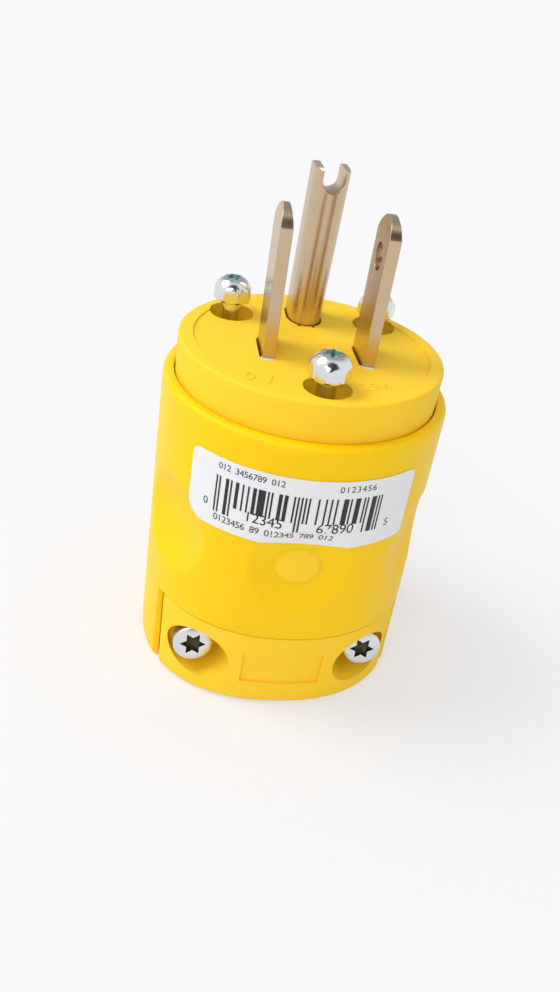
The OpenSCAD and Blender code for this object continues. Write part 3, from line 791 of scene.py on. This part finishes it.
class PLUG_OT_jaw(bpy.types.Operator):
    """Builds the clamp jaw with its screw pockets, cord groove and bare panel"""

    bl_idname = "plug.jaw"
    bl_label = "Clamp jaw"

    def execute(self, context):
        body = context.scene.plug_body
        low, high = JAW
        rings = [wall(body, z, inset) for z, inset in rounded(low.z, high.z, (1.0, 0.2))]
        jaw = tool_object(ring_solid(body.columns, rings))
        cheek = 0.12
        limits = block((low.x - cheek, -OUTSIDE, -1), (high.x + cheek, high.y, high.z + 1))
        combine(jaw, "INTERSECT", [tool_object(limits)])
        cuts = [tool_object(cylinder(CORD_R, -1, high.z + 1))]
        for side in (-1, 1):
            screw = (side * CLAMP_X, CLAMP_Z)
            pocket = (side * POCKET_X, POCKET_Z)
            cuts.append(tool_object(cylinder(POCKET_R, -OUTSIDE, POCKET_Y, "Y", pocket, 128)))
            cuts.append(tool_object(cylinder(CLAMP_HOLE_R, -OUTSIDE, 0, "Y", screw, 48)))
            moat = tool_object(cylinder(POCKET_R, -12, MOAT_Y, "Y", pocket, 128))
            combine(moat, "DIFFERENCE", [tool_object(cylinder(SEAT_R, -20, 0, "Y", screw, 96))])
            cuts.append(moat)
        inner = [wall(body, z, PANEL_DEEP) for z in (-1, 0, 2, 4, 6, 8, 10, 12, 14)]
        panel = tool_object(block((-PANEL_HALF, -OUTSIDE, PANEL_LOW), (PANEL_HALF, -8, PANEL_HIGH)))
        combine(panel, "DIFFERENCE", [tool_object(ring_solid(body.columns, inner))])
        combine(jaw, "DIFFERENCE", [*cuts, panel])
        material = bpy.data.materials["yellow_nylon"]
        finish_piece(jaw, "clamp_jaw", "clamp", "yellow_nylon", material, ["cord_clamp"])
        return {"FINISHED"}


class PLUG_OT_cover(bpy.types.Operator):
    """Builds the front cover with its hollow, wells, slots and raised figures"""

    bl_idname = "plug.cover"
    bl_label = "Front cover"

    def execute(self, context):
        def sunk(radius):
            """Ring on the floor of the hollow, which runs out to the front and the back."""
            return lambda angle: (radius, FACE_Z - max(0.0, HOLLOW_DEEP - (radius * sin(angle)) ** 2 / 520))

        rings = [bore(0, PLATE_Z), bore(PLATE_R, PLATE_Z), bore(PLATE_R, LEDGE_Z), bore(COVER_R, LEDGE_Z)]
        rings += [bore(COVER_R, LEDGE_Z + (FACE_Z - COVER_EDGE - LEDGE_Z) * i / 8) for i in range(1, 9)]
        for step in range(1, 7):
            turn = step * pi / 12
            radius = COVER_R - COVER_EDGE * (1 - cos(turn))
            rings.append(bore(radius, FACE_Z - COVER_EDGE * (1 - sin(turn))))
        rings += [bore(HOLLOW_R + 0.2, FACE_Z), bore(HOLLOW_R + 0.05, FACE_Z), sunk(HOLLOW_R - 0.05)]
        rings += [sunk(HOLLOW_R - 0.2)] + [sunk(15.0 - step) for step in range(15)] + [sunk(0)]
        cover = tool_object(ring_solid(240, rings))
        cuts = []
        for side in ("front", "left", "right"):
            low, high = box_mm("assembly_screw_" + side)
            spot = ((low.x + high.x) / 2, (low.y + high.y) / 2)
            well = (spot[0] - 0.05, spot[1])
            cuts.append(cylinder(WELL_R, FACE_Z - WELL_DEEP, FACE_Z + 1, "Z", well, 96))
            cuts.append(cylinder(1.58, PLATE_Z - 1, FACE_Z, "Z", spot, 48))
        for side in (-1, 1):
            spot = Vector((side * BLADE_X, BLADE_Y, 0))
            cuts.append(loft([[spot + Vector((x, y, z)) for x, y in SLOT] for z in (PLATE_Z - 1, FACE_Z + 1)]))
            cuts.append(cylinder(LOCATOR_R, PLATE_Z - 1, FACE_Z + 1, "Z", (side * BLADE_X, LOCATOR_Y), 48))
            corner = (side * 1.02, PIN_Y - PIN_NOSE - 0.06)
            cuts.append(cylinder(0.26, FACE_Z - 3, FACE_Z + 1, "Z", corner, 24))
        hole = pin_outline(0.12)
        cuts.append(loft([[Vector((x, y, z)) for x, y in hole] for z in (PLATE_Z - 1, FACE_Z + 1)]))
        combine(cover, "DIFFERENCE", [tool_object(bm) for bm in cuts])
        material = bpy.data.materials["yellow_nylon"]
        finish_piece(cover, "cover", "plug", "yellow_nylon", material, ["front_cover"], 20)
        marks = []
        for words, x, y, turn, size in COVER_FIGURES:
            bm = flat_text(words, size, 0.5)
            spot = Matrix.Translation((x, y, FACE_Z - 0.17)) @ Matrix.Rotation(radians(turn), 4, "Z")
            bmesh.ops.transform(bm, matrix=spot, verts=bm.verts[:])
            marks.append(bm)
        finish_piece(join(marks), "cover_figures", "plug", "yellow_nylon", material)
        return {"FINISHED"}


class PLUG_OT_contacts(bpy.types.Operator):
    """Finishes the blades, ground pin, carrier and terminals"""

    bl_idname = "plug.contacts"
    bl_label = "Contacts"

    def execute(self, context):
        finish = context.scene.plug_finish
        plated = metal("contact_plating", finish.contact, 0.25, (1, 1, 0.05), 2600, 0.000002)
        for node, side in (("hot_blade", 1), ("neutral_blade", -1)):
            blade = tool_object(blade_solid(side * BLADE_X))
            if side > 0:
                spot = (BLADE_Y, FACE_Z + 12.74)
                combine(blade, "DIFFERENCE", [tool_object(cylinder(BLADE_HOLE_R, 4, 9, "X", spot, 64))])
            finish_piece(blade, node + "_plated", "plug", "contact_brass", plated, [node])
        pin = pin_solid(context.scene.plug_body.pin_lean)
        finish_piece(pin, "ground_pin_plated", "plug", "contact_brass", plated, ["ground_pin"], 24)
        white = moulded("white_nylon", finish.white, 0.00015)
        dressed_node("terminal_carrier", "carrier", "plug", "white_nylon", white)
        feet = []
        for side in (-1, 1):
            foot = (side * BLADE_X, LOCATOR_Y)
            feet.append(cylinder(LOCATOR_R - 0.04, FACE_Z - 6, FACE_Z - 0.24, "Z", foot, 48))
        finish_piece(join(feet), "carrier_feet", "plug", "white_nylon", white)
        brass = metal("terminal_brass", finish.brass, 0.28)
        silver = metal("terminal_nickel", finish.zinc, 0.28)
        green = metal("terminal_green", finish.green, 0.32)
        for side, screw, slot in (
            ("hot", brass, "screw_brass"),
            ("neutral", silver, "screw_silver"),
            ("ground", green, "screw_green"),
        ):
            dressed_node(side + "_terminal_screw", side + "_screw", "plug", slot, screw)
        for side, plate, slot in (
            ("hot", brass, "screw_brass"),
            ("neutral", silver, "screw_silver"),
            ("ground", brass, "screw_brass"),
        ):
            dressed_node(side + "_wire_plate", side + "_plate", "plug", slot, plate)
        return {"FINISHED"}


class PLUG_OT_fasteners(bpy.types.Operator):
    """Finishes the assembly screws, clamp screws, inserts and nuts"""

    bl_idname = "plug.fasteners"
    bl_label = "Screws"

    def execute(self, context):
        finish = context.scene.plug_finish
        zinc = metal("bright_zinc", finish.zinc, 0.14, scale=1500, relief=0.000002, edge=0.00008)
        pressed = metal("pressed_zinc", shade(finish.zinc, 1.02), 0.3, scale=1200, edge=0.0002)
        # The assembly sockets' colour is painted shade and reflected tint, laid on a non-metal.
        socket_shade_paint = plain("assembly_socket_painted_shade", finish.socket, 0.4)
        # The clamp sockets' colour is painted shade, a near-black metal.
        clamp_shade_paint = metal("clamp_socket_painted_shade", finish.clamp_socket_painted_shade, 0.5)
        brass = bpy.data.materials["terminal_brass"]
        for side, corner, rise in (("front", -104, 0.2), ("left", -78, 0.2), ("right", -100, 0.6)):
            node = "assembly_screw_" + side
            finishes = (zinc, socket_shade_paint)
            name = side + "_assembly_screw"
            assembly_screw(node, name, side + "_screw", finishes, radians(corner), rise)
            dressed_node("insert_" + side, side + "_insert", "plug", "screw_brass", brass)
        for side in ("left", "right"):
            clamp_screw("clamp_screw_" + side, side + "_clamp_screw", (pressed, clamp_shade_paint), 8)
            dressed_node("clamp_nut_" + side, side + "_clamp_nut", "plug", "zinc_steel", pressed)
        return {"FINISHED"}


class PLUG_OT_label(bpy.types.Operator):
    """Builds the label film and its plain bars and figures"""

    bl_idname = "plug.label"
    bl_label = "Label"

    def execute(self, context):
        body = context.scene.plug_body
        finish = context.scene.plug_finish
        low, high = LABEL[0].z, LABEL[1].z
        tall = high - low

        def wrap(u, v, out):
            """Point on the body: u across from the label's middle, v up from its foot, in mm."""
            angle = LABEL_MIDDLE + u / GRIP_R
            radius = surface(body, angle, low + v, out)
            return Vector((radius * cos(angle), radius * sin(angle), low + v))

        columns, rows = 150, 44

        def film(column, row):
            """Point of the film, whose corners are rounded."""
            v = tall * row / rows
            short = max(0.0, LABEL_CORNER - min(v, tall - v))
            half = LABEL_WIDE / 2 - LABEL_CORNER + sqrt(LABEL_CORNER * LABEL_CORNER - short * short)
            return wrap(half * (2 * column / columns - 1), v, FILM_OUT)

        bm = sheet_grid(columns, rows, film)
        bmesh.ops.recalc_face_normals(bm, faces=bm.faces[:])
        if sum(face.normal.y for face in bm.faces) > 0:
            bmesh.ops.reverse_faces(bm, faces=bm.faces[:])
        bmesh.ops.solidify(bm, geom=bm.faces[:], thickness=0.1)
        paper = plain("label_film", finish.paper, 0.36)
        finish_piece(bm, "label_film", "plug", "label_paper", paper, ["label"])

        prints = []

        def bar(left, right, foot, head):
            """Printed bar."""
            across = max(1, round((right - left) / 0.5))
            up = max(1, round((head - foot) / 0.4))

            def place(column, row):
                u = left + (right - left) * column / across
                return wrap(u, foot + (head - foot) * row / up, PRINT_OUT)

            prints.append(sheet_grid(across, up, place))

        def figures(words, height, left, foot, gap):
            """Printed line of figures."""
            for index, sign in enumerate(words):
                if sign == " ":
                    continue
                part = flat_text(sign, height, 0.0)
                for vert in part.verts:
                    u = left + index * gap + vert.co.x
                    vert.co = wrap(u, foot + vert.co.y + height / 2, PRINT_OUT)
                prints.append(part)

        modules = bar_modules()
        unit = BARS_WIDE / len(modules)
        index = 0
        for module, run in groupby(modules):
            end = index + len(list(run))
            if module == "1":
                guard = index < 11 or index > len(modules) - 12 or 44 < index < 50
                foot = GUARDS_FOOT if guard else BARS_FOOT
                bar(BARS_LEFT + index * unit, BARS_LEFT + end * unit, foot, BARS_HEAD)
            index = end
        for line in LABEL_FIGURES:
            figures(*line)
        whole = join(prints)
        bmesh.ops.recalc_face_normals(whole, faces=whole.faces[:])
        level = Vector((1, 1, 0))
        inward = [face for face in whole.faces if face.normal.dot(face.calc_center_median() * level) < 0]
        bmesh.ops.reverse_faces(whole, faces=inward)
        ink = plain("label_ink", finish.ink, 0.45)
        finish_piece(whole, "label_print", "plug", "label_paper", ink)
        return {"FINISHED"}


class PLUG_OT_stage(bpy.types.Operator):
    """Adds the floor, world, lamps and camera"""

    bl_idname = "plug.stage"
    bl_label = "Stage"

    def floor(self, scene):
        """Pale floor that fades into the backdrop away from the plug and keeps its shadow."""
        finish = scene.plug_finish
        bm = bmesh.new()
        bmesh.ops.create_grid(bm, x_segments=1, y_segments=1, size=3)
        mesh = bpy.data.meshes.new("floor")
        bm.to_mesh(mesh)
        bm.free()
        floor = bpy.data.objects.new("floor", mesh)
        floor.location.z = -0.00002
        scene.collection.objects.link(floor)
        g = Graph("floor_paper")
        g.set(Base_Color=(*finish.floor, 1), Roughness=0.9, Specular_IOR_Level=0.05)
        reach = g.add("ShaderNodeVectorMath", {"operation": "LENGTH"}, {0: g.place()}, output="Value")
        fade = g.ramp(reach, 0.02, 0.11, FLOOR_GLOW)
        glow = g.add("ShaderNodeEmission", None, {"Color": (*finish.backdrop, 1), "Strength": 1.0})
        lit = Wire(g, g.surface.outputs[0])
        blend = g.add("ShaderNodeMixShader", None, {0: g.seen() * fade, 1: lit, 2: glow})
        g.feed(g.tree.nodes["Material Output"].inputs["Surface"], blend)
        mesh.materials.append(g.material)

    def world(self, scene):
        """Even fill; the camera and bright metal see the backdrop, the metal with two darker patches."""
        finish = scene.plug_finish
        world = scene.world or bpy.data.worlds.new("studio")
        scene.world = world
        world.use_nodes = True
        g = Graph.of(world.node_tree)
        g.tree.nodes.clear()
        way = g.add("ShaderNodeTexCoord", output="Generated")

        def patch(side, rise, near, far):
            """One inside a round patch of the sky, fading to nothing."""
            side, rise = radians(side), radians(rise)
            heading = (cos(rise) * cos(side), cos(rise) * sin(side), sin(rise))
            pair = {0: way, 1: heading}
            dot = g.add("ShaderNodeVectorMath", {"operation": "DOT_PRODUCT"}, pair, output="Value")
            return g.ramp(dot, cos(radians(far)), cos(radians(near)))

        glossy = g.add("ShaderNodeLightPath", output="Is Glossy Ray")
        tone = g.mix(patch(80, 50, 30, 55) * glossy, finish.backdrop, (0.4, 0.44, 0.5))
        tone = g.mix(patch(-90, 42, 28, 35) * glossy, tone, (0.03, 0.032, 0.032))
        back = g.add("ShaderNodeBackground", None, {"Color": tone, "Strength": 1.0})
        fill = g.add("ShaderNodeBackground", None, {"Color": (1, 1, 1, 1), "Strength": FILL})
        blend = g.add("ShaderNodeMixShader", None, {0: g.seen(), 1: fill, 2: back})
        out = g.tree.nodes.new("ShaderNodeOutputWorld")
        g.feed(out.inputs["Surface"], blend)

    def lamps(self, scene):
        """Soft lamps at a plain level."""
        for name, spot, power, size in LAMPS:
            lamp = bpy.data.lights.new(name, "AREA")
            lamp.energy = power
            lamp.shape = "SQUARE"
            lamp.size = size
            holder = bpy.data.objects.new(name, lamp)
            holder.location = spot
            aim = Vector((0, 0, 0.03)) - Vector(spot)
            holder.rotation_euler = aim.to_track_quat("-Z", "Y").to_euler()
            scene.collection.objects.link(holder)

    def camera(self, scene):
        """Camera above and in front of the plug."""
        data = bpy.data.cameras.new("camera")
        data.sensor_width = 36
        data.lens = 29.155
        data.clip_start = 0.005
        camera = bpy.data.objects.new("camera", data)
        pose = Matrix.Translation(CAMERA_SPOT)
        for angle, axis in ((CAMERA_HEADING, "Z"), (CAMERA_TILT, "X"), (CAMERA_ROLL, "Z")):
            pose = pose @ Matrix.Rotation(radians(angle), 4, axis)
        camera.matrix_world = pose
        scene.collection.objects.link(camera)
        scene.camera = camera

    def execute(self, context):
        self.floor(context.scene)
        self.world(context.scene)
        self.lamps(context.scene)
        self.camera(context.scene)
        context.scene.view_settings.view_transform = "Standard"
        return {"FINISHED"}


STEPS = (
    PLUG_OT_housing,
    PLUG_OT_pip,
    PLUG_OT_jaw,
    PLUG_OT_cover,
    PLUG_OT_contacts,
    PLUG_OT_fasteners,
    PLUG_OT_label,
    PLUG_OT_stage,
)


class PLUG_PT_panel(bpy.types.Panel):
    """Lists the sizes, colours and steps of the plug"""

    bl_idname = "PLUG_PT_panel"
    bl_label = "Plug"
    bl_space_type = "VIEW_3D"
    bl_region_type = "UI"
    bl_category = "Plug"

    def draw(self, context):
        layout = self.layout
        for group in (context.scene.plug_body, context.scene.plug_finish):
            box = layout.box()
            for key in group.__annotations__:
                box.prop(group, key)
        for step in STEPS:
            layout.operator(step.bl_idname)


CLASSES = (PlugBody, PlugFinish, *STEPS, PLUG_PT_panel)


def register():
    for cls in CLASSES:
        bpy.utils.register_class(cls)
    bpy.types.Scene.plug_body = PointerProperty(type=PlugBody)
    bpy.types.Scene.plug_finish = PointerProperty(type=PlugFinish)


def unregister():
    del bpy.types.Scene.plug_finish
    del bpy.types.Scene.plug_body
    for cls in reversed(CLASSES):
        bpy.utils.unregister_class(cls)


def main():
    register()
    for step in STEPS:
        space, name = step.bl_idname.split(".")
        getattr(getattr(bpy.ops, space), name)()


if __name__ == "__main__":
    main()
